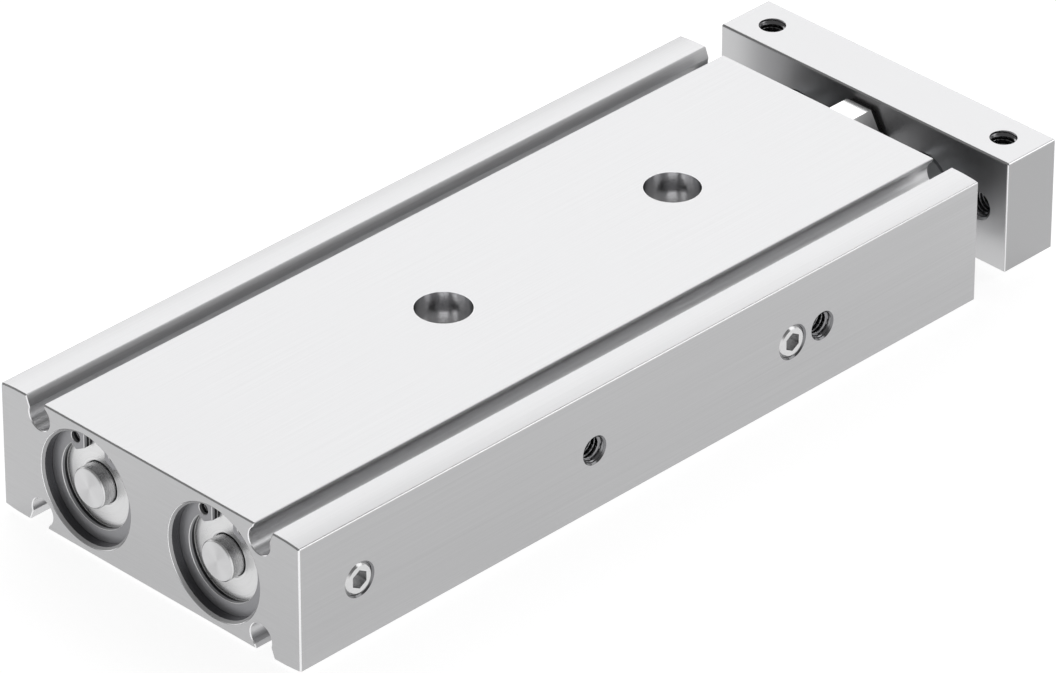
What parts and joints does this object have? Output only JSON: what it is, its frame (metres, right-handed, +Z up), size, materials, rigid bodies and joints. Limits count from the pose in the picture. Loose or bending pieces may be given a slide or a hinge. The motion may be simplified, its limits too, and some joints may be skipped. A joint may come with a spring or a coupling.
{
  "type": "double piston cylinder",
  "caption": "Flat double-acting air cylinder: parallel pistons in a slotted aluminium housing push a yoke plate with an adjustable stop screw.",
  "frame": {"origin": "on the housing's bottom face, midway between the two body screw holes", "axes": "+X from the rear caps towards the yoke plate, along the rods; +Y to the left, the side with the open air ports; +Z up"},
  "size_m": [0.1493, 0.058, 0.02],
  "materials": {
    "housing_aluminium": "extruded, brushed along its length, clear anodised",
    "plate_aluminium": "milled and brushed, clear anodised",
    "turned_aluminium": "face turned, bright",
    "rod_steel": "ground and hard chromed",
    "ring_steel": "stamped spring steel, phosphated",
    "plated_steel": "bright zinc plated",
    "bronze": "sintered bronze, oiled",
    "seal_rubber": "moulded nitrile rubber",
    "buffer_rubber": "moulded polyurethane",
    "magnet_ferrite": "plastic-bonded ferrite"
  },
  "bodies": {
    "housing": {"housing": "housing_aluminium", "port_plug_rear": "plated_steel", "port_plug_front": "plated_steel", "rear_cap_left": "turned_aluminium", "rear_cap_right": "turned_aluminium", "rear_cap_oring_left": "seal_rubber", "rear_cap_oring_right": "seal_rubber", "rear_circlip_left": "ring_steel", "rear_circlip_right": "ring_steel", "bearing_cap_left": "turned_aluminium", "bearing_cap_right": "turned_aluminium", "bearing_cap_oring_left": "seal_rubber", "bearing_cap_oring_right": "seal_rubber", "bearing_bush_left": "bronze", "bearing_bush_right": "bronze", "rod_seal_left": "seal_rubber", "rod_seal_right": "seal_rubber", "rod_wiper_left": "seal_rubber", "rod_wiper_right": "seal_rubber", "front_circlip_left": "ring_steel", "front_circlip_right": "ring_steel"},
    "yoke": {"yoke_plate": "plate_aluminium", "stop_lock_nut": "plated_steel", "piston_rod_left": "rod_steel", "piston_rod_right": "rod_steel", "piston_left": "turned_aluminium", "piston_right": "turned_aluminium", "piston_seal_left": "seal_rubber", "piston_seal_right": "seal_rubber", "magnet_left": "magnet_ferrite", "magnet_right": "magnet_ferrite", "magnet_washer_left": "turned_aluminium", "magnet_washer_right": "turned_aluminium", "piston_screw_left": "plated_steel", "piston_screw_right": "plated_steel", "rear_buffer_left": "buffer_rubber", "rear_buffer_right": "buffer_rubber", "front_buffer_left": "buffer_rubber", "front_buffer_right": "buffer_rubber", "rod_screw_left": "plated_steel", "rod_screw_right": "plated_steel"},
    "stop": {"stop_screw": "plated_steel", "stop_buffer": "buffer_rubber"}
  },
  "joints": [
    {"name": "stroke", "type": "slide", "parent": "housing", "child": "yoke", "axis": [1, 0, 0], "range_m": [0, 0.075]},
    {"name": "stop_adjust", "type": "slide", "parent": "yoke", "child": "stop", "axis": [1, 0, 0], "range_m": [0, 0.004]}
  ]
}
